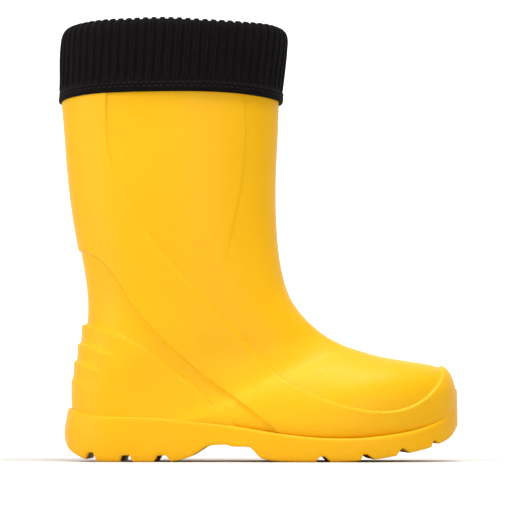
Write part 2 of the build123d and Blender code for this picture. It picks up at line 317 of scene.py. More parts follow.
def piece(name, points, faces, material, body, slot, replaces=(), sharp=None, uvs=None):
    """A Blender object of a mesh in mm that rides on a body and stands for CAD nodes."""
    mesh = bpy.data.meshes.new(name)
    mesh.from_pydata((np.asarray(points) * MM).tolist(), [], [list(map(int, f)) for f in faces])
    if uvs is not None:
        layer = mesh.uv_layers.new(name="knit")
        corners = np.zeros(len(mesh.loops), np.int32)
        mesh.loops.foreach_get("vertex_index", corners)
        layer.data.foreach_set("uv", np.asarray(uvs, np.float32)[corners].ravel())
    work = bmesh.new()
    work.from_mesh(mesh)
    bmesh.ops.remove_doubles(work, verts=work.verts, dist=WELD)
    bmesh.ops.dissolve_degenerate(work, edges=work.edges, dist=WELD / 2)
    if work.calc_volume(signed=True) < 0:
        bmesh.ops.reverse_faces(work, faces=work.faces)
    work.to_mesh(mesh)
    work.free()
    mesh.shade_smooth()
    if sharp is not None:
        mesh.set_sharp_from_angle(angle=radians(sharp))
    mesh.materials.append(material)
    made = bpy.data.objects.new(name, mesh)
    bpy.context.scene.collection.objects.link(made)
    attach(made, body)
    if replaces:
        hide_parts(*replaces)
    return made


# ---- materials --------------------------------------------------------------------------------------
class Nodes:
    """A short way to build a material's nodes."""

    def __init__(self, name):
        self.material = bpy.data.materials.new(name)
        self.material.use_nodes = True
        self.tree = self.material.node_tree
        self.shader = self.tree.nodes["Principled BSDF"]
        self.place = self.add("ShaderNodeTexCoord").outputs["Object"]

    def add(self, kind, inputs=(), **settings):
        node = self.tree.nodes.new(kind)
        for key, value in settings.items():
            setattr(node, key, value)
        for key, value in dict(inputs).items():
            if isinstance(value, bpy.types.NodeSocket):
                self.tree.links.new(value, node.inputs[key])
            else:
                node.inputs[key].default_value = value
        return node

    def noise(self, scale, detail=2.0, rough=0.5, vector=None):
        return self.add("ShaderNodeTexNoise", {"Vector": vector or self.place, "Scale": scale,
                                               "Detail": detail, "Roughness": rough}).outputs["Fac"]

    def math(self, operation, a, b=0.0):
        return self.add("ShaderNodeMath", {0: a, 1: b}, operation=operation).outputs[0]

    def range(self, value, low, high, to_low, to_high):
        return self.add("ShaderNodeMapRange", {"Value": value, "From Min": low, "From Max": high,
                                               "To Min": to_low, "To Max": to_high}).outputs["Result"]

    def blend(self, share, first, second):
        node = self.add("ShaderNodeMix", {0: share}, data_type="RGBA")
        for socket, colour in ((node.inputs[6], first), (node.inputs[7], second)):
            if isinstance(colour, bpy.types.NodeSocket):
                self.tree.links.new(colour, socket)
            else:
                socket.default_value = (*colour, 1)
        return node.outputs[2]

    def bump(self, height, strength, distance, below=None):
        inputs = {"Height": height, "Strength": strength, "Distance": distance}
        if below is not None:
            inputs["Normal"] = below
        return self.add("ShaderNodeBump", inputs).outputs["Normal"]

    def finish(self, colour=None, roughness=None, normal=None, **values):
        for name, socket in (("Base Color", colour), ("Roughness", roughness), ("Normal", normal)):
            if socket is not None:
                self.tree.links.new(socket, self.shader.inputs[name])
        for name, value in values.items():
            self.shader.inputs[name.replace("_", " ")].default_value = value
        return self.material


def foam_material(name, colour, deeper):
    """Satin moulded foam: fine leather-like grain, faint flow marks, slightly uneven colour."""
    n = Nodes(name)
    cloud = n.range(n.noise(22, 3, 0.55), 0.3, 0.7, 0, 1)
    tone = n.blend(cloud, colour, deeper)
    speck = n.range(n.noise(900, 2, 0.6), 0.35, 0.75, 0, 0.12)
    tone = n.blend(speck, tone, tuple(0.86 * part for part in deeper))
    cells = n.add("ShaderNodeTexVoronoi", {"Vector": n.place, "Scale": 760.0}, feature="F1")
    grain = n.bump(cells.outputs["Distance"], 0.35, 0.00025)
    fine = n.bump(n.noise(2300, 3, 0.6), 0.22, 0.00010, grain)
    swell = n.bump(n.noise(60, 2, 0.5), 0.10, 0.0008, fine)
    rough = n.range(n.noise(140, 3, 0.6), 0.3, 0.7, 0.44, 0.52)
    return n.finish(tone, rough, swell, Specular_IOR_Level=0.18)


def knit_material(name, wale, course, colour, lift, depth):
    """Plain knit: rows of V-shaped stitches, with fuzz, sheen and painted shade in the grooves between
    stitches. The map's unit is 1 mm.
    """
    n = Nodes(name)
    place = n.add("ShaderNodeUVMap", uv_map="knit").outputs["UV"]
    split = n.add("ShaderNodeSeparateXYZ", {"Vector": place})
    across = n.math("MULTIPLY", split.outputs[0], 1 / wale)
    side = n.math("ABSOLUTE", n.math("SUBTRACT", n.math("FRACT", across), 0.5))
    slant = n.math("ADD", n.math("MULTIPLY", split.outputs[1], 1 / course), n.math("MULTIPLY", side, -1.3))
    loop = n.math("SINE", n.math("MULTIPLY", slant, 2 * pi))
    groove = n.math("SINE", n.math("MULTIPLY", side, 2 * pi))
    stitch = n.math("ADD", n.math("MULTIPLY", loop, 0.35), groove)
    fuzz = n.noise(1500, 3, 0.65)
    height = n.math("ADD", n.math("MULTIPLY", stitch, 0.7), fuzz)
    normal = n.bump(height, 0.7, depth)
    # painted shade: the colour is darker where the stitch pattern is low, in the grooves between stitches
    shade = n.range(stitch, -0.4, 1.2, 0.0, 0.8)
    tone = n.blend(shade, tuple(0.55 * part for part in colour), colour)
    tone = n.blend(n.range(n.noise(420, 3, 0.7), 0.45, 0.8, 0, 0.55), tone, lift)
    rough = n.range(fuzz, 0.3, 0.7, 0.82, 0.96)
    return n.finish(tone, rough, normal, Specular_IOR_Level=0.06, Sheen_Weight=0.03, Sheen_Roughness=0.45,
                    Sheen_Tint=(0.75, 0.74, 0.78, 1))


def felt_material(name, colour, lift):
    """Needled felt: tangled fibres in two greys, soft sheen."""
    n = Nodes(name)
    bent = n.add("ShaderNodeMapping", {"Vector": n.place, "Scale": (1.0, 1.0, 0.45)}).outputs["Vector"]
    fibres = n.noise(1100, 5, 0.75, bent)
    clumps = n.noise(160, 4, 0.65)
    tone = n.blend(n.range(fibres, 0.38, 0.68, 0, 1), colour, lift)
    tone = n.blend(n.range(clumps, 0.35, 0.7, 0, 0.5), tone, tuple(0.6 * part for part in colour))
    normal = n.bump(n.math("ADD", fibres, n.math("MULTIPLY", clumps, 1.4)), 0.75, 0.0006)
    rough = n.range(fibres, 0.3, 0.7, 0.86, 0.98)
    return n.finish(tone, rough, normal, Specular_IOR_Level=0.2, Sheen_Weight=0.3, Sheen_Roughness=0.5,
                    Sheen_Tint=(0.8, 0.8, 0.82, 1))


def thread_material(name, colour, lift):
    """Twisted thread: fine slanting strands with a dull shine, painted lighter on their crests and darker
    between them.
    """
    n = Nodes(name)
    bands = n.add("ShaderNodeTexWave", {"Vector": n.place, "Scale": 700.0, "Distortion": 2.0, "Detail": 1.0},
                  bands_direction="DIAGONAL").outputs["Fac"]
    # painted light and shade: the strands' crests are lighter and the grooves between them darker, following
    # the bump
    tone = n.blend(bands, colour, lift)
    normal = n.bump(bands, 0.5, 0.0002)
    rough = n.range(bands, 0, 1, 0.5, 0.65)
    return n.finish(tone, rough, normal, Specular_IOR_Level=0.12)


upper_foam = foam_material("upper_foam", (0.79, 0.414, 0.002), (0.775, 0.398, 0.0012))
sole_foam = foam_material("sole_foam", (0.79, 0.404, 0.0018), (0.775, 0.389, 0.001))
rib_knit = knit_material("rib_knit", 1.3, 1.5, (0.005, 0.0036, 0.0036), (0.011, 0.0085, 0.0085), 0.0004)
hem_knit = knit_material("hem_tape", 1.5, 1.5, (0.0046, 0.0034, 0.0033), (0.010, 0.0078, 0.0078), 0.0003)
felt = felt_material("felt", (0.022, 0.022, 0.024), (0.06, 0.06, 0.064))
seam_tape = knit_material("seam_tape", 1.6, 1.6, (0.014, 0.014, 0.0155), (0.03, 0.03, 0.032), 0.0003)
# the second colour of each thread is the painted highlight on the strands' crests
thread = thread_material("thread", (0.006, 0.0045, 0.0045), (0.013, 0.011, 0.011))
grey_thread = thread_material("grey_thread", (0.03, 0.03, 0.033), (0.065, 0.065, 0.07))

# ---- side-view lines of the moulding -----------------------------------------------------------------
BAND_FRONT = [(-107.6, 268), (-107.6, 252), (-107.5, 229), (-103.1, 204), (-95.9, 187), (-72.6, 147.3),
              (-43.1, 114.4), (-17.7, 87.6), (10.4, 60), (37.4, 43.9), (63.1, 35.8), (80.5, 33.9),
              (99.2, 36.6), (111.4, 43.1), (120.4, 51.5), (125.5, 60.1), (124, 76)]
BAND_REAR = [(-165, 150), (-130.5, 149), (-110.3, 137.7), (-89.2, 107.9), (-60.8, 76.8),
             (-33.4, 53.7), (-10.1, 36.8), (3.9, 25.8)]
COUNTER_TOP = [(-165, 98.5), (-127.3, 96.4), (-109.7, 91.6), (-83.4, 78.6), (-51.1, 55),
               (-27.8, 33.9), (-15.3, 20.1)]
RIB_CRESTS = [[(-160, 88.2), (-127.2, 82.2), (-96.2, 69.4)],
              [(-160, 74.7), (-129.6, 69.7), (-103, 58.3)],
              [(-160, 61.2), (-131.4, 57.3), (-111, 48.2)]]
FRONT_PANEL = [(-14, 268), (-13.2, 259), (-12.4, 250), (-11.2, 228), (-12.3, 208), (-16.5, 178),
               (-21.5, 155), (-24.9, 139.6), (-26.4, 123.7), (-26, 107)]
SOLE_LINE = [(-139, 38), (-133.2, 36.7), (-114.1, 32.4), (-85.5, 30.6), (-54.6, 28.5), (-19.6, 24.4),
             (1.4, 21), (24.8, 17.7), (51.4, 16.1), (69.6, 16.6), (86.1, 18.4), (104.4, 21.7),
             (116.9, 25.9), (126.3, 31.4), (132.1, 38.7), (136.1, 51.2)]

STEP_HALF = 0.75                        # half the width of a moulded ledge's slope
PATTERN_TOP_Z, PATTERN_FADE = 262, 8     # band and panel end under the cuff
PANEL_RAISE = 0.45
PANEL_LOW_Z, PANEL_FADE = 118, 50
HEEL_BULGE = 0.8
RIB_NAMES = ("counter", "rib1", "rib2", "rib3")
RIB_FRONT_X = (-90, -97, -104, -112)
RIB_RAISES = (1.7, 2.2, 2.0, 1.0)
RIB_PITCH = 12.0
RIB_FADE = 17.0
RIB_CUT_FRONT_X = -80.0

# each line with the distances from it at which the mesh gets an edge
LEDGE_LEVELS = (-0.9, -0.45, 0.0, 0.45, 0.9)
PANEL_LEVELS = (-0.8, -0.3, 0.3, 0.8)
RIB_LEVELS = (-0.8, -0.2, 0.4, 1.2)
PATTERN = [("band", BAND_FRONT, LEDGE_LEVELS), ("rear", BAND_REAR, LEDGE_LEVELS),
           ("counter", COUNTER_TOP, LEDGE_LEVELS), ("panel", FRONT_PANEL, PANEL_LEVELS)]
PATTERN += [(name, crest, RIB_LEVELS) for name, crest in zip(RIB_NAMES[1:], RIB_CRESTS)]
LINES = {name: smooth_line(points, 110) + SHIFT[[0, 2]] for name, points, _ in PATTERN}


def step(distance, half=STEP_HALF):
    """A ledge's height, 0 to 1, across its line."""
    return smooth(distance / (2 * half) + 0.5)


def moulding(points):
    """How far the moulded pattern stands proud of the form at each point."""
    x, z = points[:, 0] - SHIFT[0], points[:, 2]
    away = {name: side_of(points, line) for name, line in LINES.items()}
    top = smooth((PATTERN_TOP_Z - z) / PATTERN_FADE)
    band = BAND_RAISE * step(away["band"]) * step(-away["rear"]) * top
    counter = BAND_RAISE * step(away["counter"])
    panel = (1 - step(away["band"])) * step(away["panel"]) * top * smooth((z - PANEL_LOW_Z) / PANEL_FADE)
    heel = step(away["counter"], 1.7) * smooth((-98 - x) / 30) * smooth((z - 38) / 36)
    proud = np.maximum(band, counter) + PANEL_RAISE * panel + HEEL_BULGE * heel
    for name, front_x, height in zip(RIB_NAMES, RIB_FRONT_X, RIB_RAISES):
        below = away[name]
        ramp = np.clip(1 - below / RIB_PITCH, 0, 1) ** 1.6 * step(below, 1.3)
        proud = proud + height * ramp * smooth((front_x - x) / RIB_FADE)
    return proud


RIM_DIP = 1.9
DIP_START_Z = 278


def rim_dip(angle, z):
    """How far the boot's top edge dips at its two sides."""
    return RIM_DIP * np.sin(angle) ** 2 * smooth((z - DIP_START_Z) / 27)


# ---- foam upper ---------------------------------------------------------------------------------------
COLUMNS = 208
ROW_STEP, INNER_ROW_STEP = 2.7, 6.0
RIM_ROUND = 1.4
RIM_KEEP = 8.0                    # height of the rim in which no point is moved out of a fold
RIM_ROWS = RIM_U + np.array([0, 0.12, 0.45, 0.95, 1.5]) * MM_PER_Z
FAR = 50.0                        # a distance beyond every cut's reach


def form_rows(first_rows, spacing, columns):
    """A grid of (way, angle, share) over the form, closed at the toe, as points and triangles."""
    last = KNOTS[-1]
    count = int((last - first_rows[-1]) / spacing)
    ways = np.concatenate([first_rows, np.linspace(first_rows[-1], last, count + 1)[1:], [last] * 4])
    shares = np.concatenate([np.ones(len(ways) - 4), [0.85, 0.6, 0.3, 0.0]])
    angles = np.linspace(-pi, pi, columns + 1)
    angles = angles - 0.19 * np.sin(4 * angles)      # closer together at the front, the back and the sides
    uvs = np.stack([np.repeat(ways, len(angles)), np.tile(angles, len(ways)),
                    np.repeat(shares, len(angles))], 1)
    return uvs, triangles(grid(len(ways), len(angles)))


def below_rim(uvs):
    """How far each point is below the rim."""
    return (uvs[:, 0] - RIM_U) / MM_PER_Z


def rim_round_off(uvs):
    """How far the surface steps back from the form to round the rim's edge."""
    short = np.clip(RIM_ROUND - below_rim(uvs), 0, RIM_ROUND)
    return (RIM_ROUND - np.sqrt(RIM_ROUND ** 2 - short ** 2))[:, None]


def upper_outside():
    """The upper's outer surface, with mesh edges along the lines of the moulded pattern."""
    form = boot_form(0, 0)
    uvs, faces = form_rows(RIM_ROWS, ROW_STEP, COLUMNS)
    for name, _, levels in PATTERN:
        points = form(uvs)
        away = side_of(points, LINES[name])
        if name.startswith("rib"):
            away = np.where(points[:, 0] > RIB_CUT_FRONT_X, FAR, away)
        table = np.column_stack([uvs, away])
        for level in levels:
            table, faces = cut(table, faces, table[:, 3] - level)
        uvs = table[:, :3]
    base = form(uvs)
    normals = outward_normals(base, faces)
    points = base + normals * (moulding(base)[:, None] - rim_round_off(uvs))
    fixed = (below_rim(uvs) < RIM_KEEP) | (np.abs(uvs[:, 1]) > pi - 1e-6) | (uvs[:, 2] < 1)
    points = unfolded(points, base, faces, fixed)
    points[:, 2] -= rim_dip(uvs[:, 1], points[:, 2])
    return points, faces


def upper_inside():
    """The upper's inner surface, plain."""
    uvs, faces = form_rows(RIM_ROWS, INNER_ROW_STEP, COLUMNS)
    points = boot_form(WALL, FOOTBED)(uvs)
    points = points + outward_normals(points, faces) * rim_round_off(uvs)
    points[:, 2] -= rim_dip(uvs[:, 1], points[:, 2])
    return points, faces[:, ::-1]


outside, inside = upper_outside(), upper_inside()
ring = np.arange(COLUMNS + 1)
inner_ring = ring + len(outside[0])
rim = np.stack([ring[1:], ring[:-1], inner_ring[:-1], inner_ring[1:]], 1)
piece("upper_skin", *joined(outside, inside, bridge=rim), upper_foam, "boot", "upper_foam",
      ["leg_shaft", "foot_shell"])

# ---- foam outsole -----------------------------------------------------------------------------------
PLAN_OUTLINE = [(-138.8, 0), (-133, -18), (-118, -31.5), (-100, -38), (-57, -40), (-20, -43.2),
                (10, -47), (42, -49.6), (70, -48.4), (92, -43.6), (110, -35.8), (124, -25.5),
                (134, -11.5), (138.8, 7), (134.5, 27), (124, 38.5), (108, 45.6), (82, 49.8),
                (50, 48.8), (20, 44.8), (-20, 39.6), (-57, 38), (-100, 37.8), (-118, 31.5),
                (-133, 18)]
TIP = PLAN_OUTLINE.index((138.8, 7))      # the toe's tip
HALF_LENGTH, HALF_WIDTH = 138.8, 49.8
WALL_PROFILE = [(0, 4.0), (2, 2.4), (5, 1.2), (10, 0.4), (20, 0), (40, 0), (60, 0.3)]
TREAD_LINE = [(-139.5, 23), (-138.4, 18.5), (-137, 14), (-134.6, 10), (-131.5, 6.9), (-127.5, 4.6),
              (-122, 2.1), (-115, 0.3), (-112, 0), (-64, 0), (-56, 1.2), (-48.1, 3.8), (-42, 7.6),
              (-37.2, 10.7), (-31.8, 11.6), (-23, 11.8), (-21.5, 10.4), (-8.5, 10.3), (-6, 8.4),
              (-2.6, 3.9), (0, 2.2), (5.5, 1.1), (15, 0.3), (27, 0), (49.4, 0), (62.7, 0.5), (76.2, 1.7),
              (95.8, 5.0), (112.9, 8.9), (120.9, 11.9), (125.4, 13.7), (129.3, 15.6), (132.4, 18.6),
              (137, 24.5), (139.5, 30)]
# four places along the underside and the height of the roof between the middle two
NOTCHES = [(-121, -118.6, -114.9, -111.2, 6.4), (-97.6, -95.1, -89.6, -86.8, 4.5),
           (-73.7, -70.9, -65.2, -61.7, 4.5), (36.2, 39, 42.4, 46.4, 3.8), (66, 68.1, 71.1, 76.3, 5.2),
           (90.6, 94.2, 96.5, 100.7, 9.0), (115.3, 116.6, 119, 122, 14.5)]
STATIONS = 300
TOP_COLUMNS, BOTTOM_COLUMNS = 8, 20
EDGE_INSET = 1.4               # how far the lower edge is rounded in
HEEL_TUCK = 2.4                # how far the heel's upper wall leans in

outline = np.array(PLAN_OUTLINE * 3 + PLAN_OUTLINE[:1], float)
lap = np.concatenate([[0], np.cumsum(np.hypot(*np.diff(outline, axis=0).T))])
outline_at = spline(lap, outline)
size = len(PLAN_OUTLINE)


def plan_side(first, last, angles):
    """How far sideways one side of the sole's outline is, by its angle from the toe's tip."""
    fine = outline_at(np.linspace(lap[first], lap[last], 600))
    angle = np.arccos(np.clip(fine[:, 0] / HALF_LENGTH, -1, 1))
    order = np.argsort(angle)
    return np.interp(angles, angle[order], fine[order, 1])


tread_x = np.arange(-142, 142.1, 0.5)
tread_z = np.interp(tread_x, *np.array(TREAD_LINE).T)
tread_z = np.convolve(np.pad(tread_z, 4, mode="edge"), np.ones(9) / 9, mode="valid")


def tread(x):
    """Height of the sole's underside."""
    height = np.interp(x, tread_x, tread_z)
    for x0, x1, x2, x3, roof in NOTCHES:
        ends = np.interp([x0, x3], tread_x, tread_z)
        notch = np.interp(x, [x0, x1, x2, x3], [ends[0], roof, roof, ends[1]], left=-9, right=-9)
        height = np.maximum(height, notch)
    return height


sole_top_line = smooth_line(SOLE_LINE, 300)
wall_at = spline([z for z, _ in WALL_PROFILE], [[inset] for _, inset in WALL_PROFILE])


def wall_inset(z):
    """How far the sole's wall is set in at a height."""
    return wall_at(np.clip(z, 0, 60))[..., 0]


angles = np.linspace(0, pi, STATIONS + 1)
for corner in sorted(x for notch in NOTCHES for x in notch[:4]):
    reach = HALF_LENGTH - wall_inset(tread(np.array([corner])))[0] - EDGE_INSET
    angle = np.arccos(corner / reach)
    angles[np.abs(angles - angle).argmin()] = angle        # a station at each corner of a notch
lateral, medial = plan_side(0, TIP, angles), plan_side(TIP, size, angles)
lateral[[0, -1]] = medial[[0, -1]] = (plan_side(0, TIP, np.array([0.0]))[0], 0.0)


def sole_points(z, extra, side_y):
    """Points of the sole's wall at heights z, set in further by extra."""
    heel = np.clip(-np.cos(angles), 0, 1) ** 6 * HEEL_TUCK * smooth((z - 20) / 20)
    inset = wall_inset(z) + extra + heel
    return np.stack([np.cos(angles) * (HALF_LENGTH - inset), side_y * (1 - inset / HALF_WIDTH), z], 1)


bottom = np.zeros(STATIONS + 1)
for _ in range(12):
    bottom = tread(np.cos(angles) * (HALF_LENGTH - wall_inset(bottom) - EDGE_INSET))
top = np.interp(np.cos(angles) * (HALF_LENGTH - 2), sole_top_line[:, 0], sole_top_line[:, 1])
profile = [(bottom, EDGE_INSET), (bottom + 0.18, 0.8), (bottom + 0.55, 0.35), (bottom + 1.2, 0.05)]
profile += [(bottom + 1.2 + (top - bottom - 3.2) * share, 0.0) for share in np.linspace(0.1, 1, 10)]
profile += [(top - 1.2, 0.2), (top - 0.6, 0.6), (top - 0.2, 1.2), (top, 2.1), (top - 0.05, 3.4),
            (top - 0.8, 6.0), (bottom + 0.4 * (top - bottom), 7.0)]
lateral_wall = [sole_points(z, extra, lateral) for z, extra in profile]
medial_wall = [sole_points(z, extra, medial) for z, extra in profile]


def between(first, last, columns):
    """Rows of points from one edge of the sole straight across to the other, without both edges."""
    return [first + (last - first) * share for share in np.linspace(0, 1, columns)[1:-1]]


rings = lateral_wall + between(lateral_wall[-1], medial_wall[-1], TOP_COLUMNS)
rings += medial_wall[::-1] + between(medial_wall[0], lateral_wall[0], BOTTOM_COLUMNS)
sole_mesh = np.stack(rings, 1).reshape(-1, 3) + SHIFT
piece("outsole_skin", sole_mesh, grid(STATIONS + 1, len(rings), closed=True), sole_foam, "boot",
      "sole_foam", ["outsole"], sharp=38)

# ---- knitted cuff --------------------------------------------------------------------------------------
RIBS = 66
# place across one rib's pitch and height: two columns of stitches, then the valley
RIB_SHAPE = [(0.00, 0.12), (0.04, 0.62), (0.10, 0.93), (0.17, 1.0), (0.24, 0.94), (0.31, 0.74),
             (0.38, 0.94), (0.45, 1.0), (0.52, 0.93), (0.58, 0.62), (0.62, 0.12), (0.70, 0.0),
             (0.81, 0.10), (0.92, 0.0)]
RIB_DEPTH = 1.35
CUFF_EDGE_Z = CUFF_BOTTOM_Z + 4.5        # the knit ends inside the hem band
FOLD_START, FOLD_HIGH = 299.9, 7.5
CUFF_SWELL = 1.5                         # how far the folded knit bulges above the hem
GIRTH_OUT = 2.0                          # the knit's middle, out from the foam


def ellipse_angles(shares):
    """Angles round the leg that are evenly spaced along its edge."""
    fine = np.linspace(0, 2 * pi, 4001)
    x, y = (LEG_HALF_LENGTH + GIRTH_OUT) * np.cos(fine), (LEG_HALF_WIDTH + GIRTH_OUT) * np.sin(fine)
    edge = np.hypot(np.diff(x), np.diff(y))
    return np.interp(shares, np.concatenate([[0], np.cumsum(edge)]) / edge.sum(), fine)


MAP_FACTOR = 1.028           # length of the knit map over the edge of a circle with the mean radius
MAP_GIRTH = pi * (LEG_HALF_LENGTH + LEG_HALF_WIDTH + 2 * GIRTH_OUT) * MAP_FACTOR


def around_leg(angle, out, z):
    """Points round the leg at a distance out from the foam's outside and a height."""
    middle = leg_mid(z)
    return np.stack([middle + (LEG_HALF_LENGTH + out) * np.cos(angle) + 0 * z,
                     (LEG_HALF_WIDTH + out) * np.sin(angle) + 0 * z, z + 0 * angle], -1) + SHIFT


def hem_lift(angle):
    """How far the cuff's lower edge is drawn up, a little unevenly."""
    return 1.1 - 0.6 * np.sin(angle) ** 2 + 0.2 * np.sin(5 * angle + 0.7)


rib_shares = np.concatenate([(rib + np.array([p for p, _ in RIB_SHAPE])) / RIBS for rib in range(RIBS)])
rib_heights = np.tile([h for _, h in RIB_SHAPE], RIBS)
cuff_angles = ellipse_angles(rib_shares)
outer_out, inner_out = CUFF_GAP + KNIT, -WALL - CUFF_GAP - KNIT
fold_middle, fold_half = (outer_out + inner_out) / 2, (outer_out - inner_out) / 2
# rows of the seen side: distance out, height, and how far the relief points outward and upward
rows = [(outer_out, z, 1, 0) for z in np.linspace(CUFF_EDGE_Z, FOLD_START, 22)]
rows += [(fold_middle + fold_half * cos(a), FOLD_START + FOLD_HIGH * sin(a) ** 0.9, cos(a), sin(a))
         for a in np.linspace(0, pi, 15)[1:-1]]
rows += [(inner_out, z, -1, 0) for z in np.linspace(FOLD_START, CUFF_JOIN_Z, 16)]
hidden = [(inner_out + KNIT, z) for z in (CUFF_JOIN_Z, 280, RIM_Z + CUFF_GAP)]
hidden += [(CUFF_GAP, z) for z in (RIM_Z + CUFF_GAP, 280, CUFF_EDGE_Z)]
cuff_rows, cuff_map = [], []
way = 0.0
for index, (out, z, across, up) in enumerate(rows):
    if index:
        way += hypot(out - rows[index - 1][0], z - rows[index - 1][1])
    hang = smooth((280 - z) / 26) if across > 0.5 else 0.0
    height = z + hem_lift(cuff_angles) * hang
    if across < 0.5:
        height = height + 0.35 * np.sin(3 * cuff_angles + 0.6) * up
    height = height + up * (0.25 * np.sin(2 * cuff_angles + 1.1) + 0.2 * np.sin(7 * cuff_angles))
    soft = 0.30 * np.sin(4 * cuff_angles + 0.5 * z / 10) + 0.16 * np.sin(11 * cuff_angles + z / 6)
    swell = CUFF_SWELL * float(smooth((z - CUFF_BOTTOM_Z - 8) / 34)) if across > 0.2 else 0.0
    held = smooth((way - 3.0) / 3.5) if across > 0.5 else smooth((z - CUFF_JOIN_Z - 1.5) / 3)
    relief = (rib_heights - 0.62) * RIB_DEPTH * (0.12 + 0.88 * held) * (0.75 if across < -0.5 else 1)
    lift = relief + soft * 0.6 + swell - (0.5 * np.cos(cuff_angles) if across > 0 else 0)
    height = height + lift * up * 0.9
    cuff_rows.append(around_leg(cuff_angles, out + lift * across, height - rim_dip(cuff_angles, height)))
    cuff_map.append(np.stack([rib_shares * MAP_GIRTH, np.full(len(rib_shares), way)], 1))
for out, z in hidden:
    height = z + (hem_lift(cuff_angles) if z < 260 else 0) + 0 * cuff_angles
    cuff_rows.append(around_leg(cuff_angles, out, height - rim_dip(cuff_angles, height)))
    cuff_map.append(np.stack([rib_shares * MAP_GIRTH, np.full(len(rib_shares), 0.0)], 1))
quads = grid(len(cuff_rows), len(rib_shares), closed=True, looped=True)
cuff = piece("cuff_knit", np.concatenate(cuff_rows), quads, rib_knit, "liner", "rib_knit", ["rib_cuff"],
             uvs=np.concatenate(cuff_map))


def leg_band(name, profile, count, material, slot, replaces, wave, lift=None):
    """A closed band round the leg with a (distance out, height) profile, waved out and lifted."""
    angles = ellipse_angles(np.arange(count) / count)
    profile = np.asarray(profile, float)
    steps = np.hypot(*np.diff(profile, axis=0).T)
    ways = np.concatenate([[0], np.cumsum(steps)])
    points, places = [], []
    for (out, z), way in zip(profile, ways):
        points.append(around_leg(angles, out + wave(angles, out, z), z + (lift(angles) if lift else 0)))
        places.append(np.stack([np.arange(count) / count * MAP_GIRTH, np.full(count, way)], 1))
    quads = grid(len(profile), count, closed=True, looped=True)
    return piece(name, np.concatenate(points), quads, material, "liner", slot, replaces,
                 uvs=np.concatenate(places))


hem_out = CUFF_GAP + HEM_THICK
low, high = CUFF_BOTTOM_Z, CUFF_BOTTOM_Z + HEM_HEIGHT
hem_profile = [(CUFF_GAP, low + 0.9), (CUFF_GAP + 0.25, low + 0.3), (CUFF_GAP + 0.9, low),
               (hem_out - 0.9, low + 0.05), (hem_out - 0.25, low + 0.4), (hem_out, low + 1.1),
               (hem_out + 0.1, low + 2.6), (hem_out - 0.05, low + 3.8), (hem_out - 0.12, low + 4.2),
               (hem_out - 0.02, low + 4.8), (hem_out + 0.02, low + 5.9), (hem_out - 0.1, low + 6.6),
               (hem_out - 0.15, low + 6.9), (hem_out - 0.3, high - 0.3), (hem_out - 0.75, high),
               (CUFF_GAP, high)]
hem = leg_band("hem_band", hem_profile, 420, hem_knit, "hem_tape", ["cuff_hem_band"],
               lambda a, out, z: 0.10 * np.sin(a * 96 + z) * (out > 1.5) + 0.18 * np.sin(4 * a + 0.5),
               hem_lift)


def capsules(centres, along, outward, length, width, thick):
    """Small rounded stitches at points, each lying along one direction and facing another."""
    long_steps = np.linspace(0, pi, 6)
    round_steps = np.linspace(0, 2 * pi, 7)[:-1]
    side = np.cross(outward, along)
    rings = []
    for a in long_steps:
        full = sin(a) ** 0.7
        for b in round_steps:
            rings.append(centres - along * (length / 2 * cos(a)) + side * (width / 2 * full * cos(b))
                         + outward * (thick / 2 * full * sin(b)))
    points = np.stack(rings, 1).reshape(-1, 3)
    quads = grid(len(long_steps), len(round_steps), closed=True)
    first = (np.arange(len(centres)) * len(rings))[:, None, None]
    return points, (quads[None] + first).reshape(-1, 4)


def unit(vectors):
    """Vectors made 1 long."""
    return vectors / np.linalg.norm(vectors, axis=1, keepdims=True)


def on_hem(angle, height):
    """Places on the hem band's outside at a height above its lower edge."""
    return around_leg(angle, hem_out + 0.02, CUFF_BOTTOM_Z + height + hem_lift(angle))


STITCHES = 100
STITCH_ROWS = ((3.7, 0.0), (6.1, 0.5))       # height above the hem's edge, shift in stitches
stitch_rows = []
for height, offset in STITCH_ROWS:
    angle = ellipse_angles((np.arange(STITCHES) + offset) / STITCHES)
    centre = on_hem(angle, height)
    ahead = unit(on_hem(angle + 0.01, height) - centre)
    outward = unit(around_leg(angle, hem_out + 1, CUFF_BOTTOM_Z + height + hem_lift(angle)) - centre)
    stitch_rows.append(capsules(centre, ahead, outward, 3.1, 0.75, 0.7))
stitching = piece("hem_stitches", *joined(*stitch_rows), thread, "liner", "thread", ["cuff_hem_stitching"])

seam_out = -WALL - CUFF_GAP - KNIT
seam_profile = [(seam_out + 0.3, CUFF_JOIN_Z - 0.3), (seam_out - 0.6, CUFF_JOIN_Z - 0.2),
                (seam_out - 1.1, CUFF_JOIN_Z + 0.7), (seam_out - 1.2, CUFF_JOIN_Z + 1.6),
                (seam_out - 1.0, CUFF_JOIN_Z + 2.6), (seam_out - 0.5, CUFF_JOIN_Z + 3.2),
                (seam_out + 0.3, CUFF_JOIN_Z + 3.2)]
overlock = leg_band("cuff_overlock", seam_profile, 720, seam_tape, "seam_tape", ["cuff_join_seam"],
                    lambda a, out, z: -0.28 * np.sin(a * 120 + 1.2 * z))

# ---- felt liner ---------------------------------------------------------------------------------------
felt_inset, felt_sole = WALL + LINER_GAP, FOOTBED + LINER_GAP
felt_out = boot_form(felt_inset, felt_sole)
felt_in = boot_form(felt_inset + FELT, felt_sole + FELT)
join_u = RIM_U + (RIM_Z - CUFF_JOIN_Z) * MM_PER_Z
LINER_COLUMNS = 112
SEAM_LEVELS = (-2.2, -0.8, 0.8, 2.2)
SEAM_DENT, SEAM_HALF = 0.9, 1.1          # depth and half width of the dent along a seam
uvs, faces = form_rows(np.array([join_u, join_u + 1.2]), 4.2, LINER_COLUMNS)
for level in (-2.2, -0.8, 0, 0.8, 2.2):
    uvs, faces = cut(uvs, faces, felt_out(uvs)[:, 2] - LINER_SEAM_Z - level)


